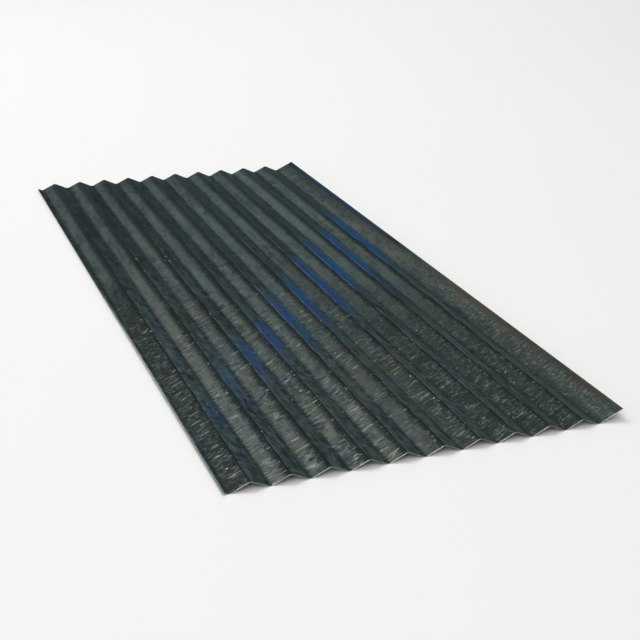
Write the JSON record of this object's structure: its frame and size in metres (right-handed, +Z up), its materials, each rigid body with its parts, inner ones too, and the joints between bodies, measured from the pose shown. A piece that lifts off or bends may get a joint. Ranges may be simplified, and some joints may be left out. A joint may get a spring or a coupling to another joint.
{
  "type": "corrugated metal sheet",
  "caption": "Rectangular galvanised steel sheet rolled into rounded parallel corrugations, with one low and one raised side edge, for roofing and cladding.",
  "frame": {"origin": "centre of the sheet's width and length, on the plane of the undersides of its valleys", "axes": "+X across the waves from the low edge to the raised edge, +Y along the corrugations, +Z up"},
  "size_m": [0.8304, 1.829, 0.0251],
  "materials": {
    "galvanised_steel": "dull zinc-coated steel with fine cross breaks and a patchy bluish and brownish bloom"
  },
  "bodies": {
    "root": {"corrugated_sheet": "galvanised_steel"}
  },
  "joints": []
}
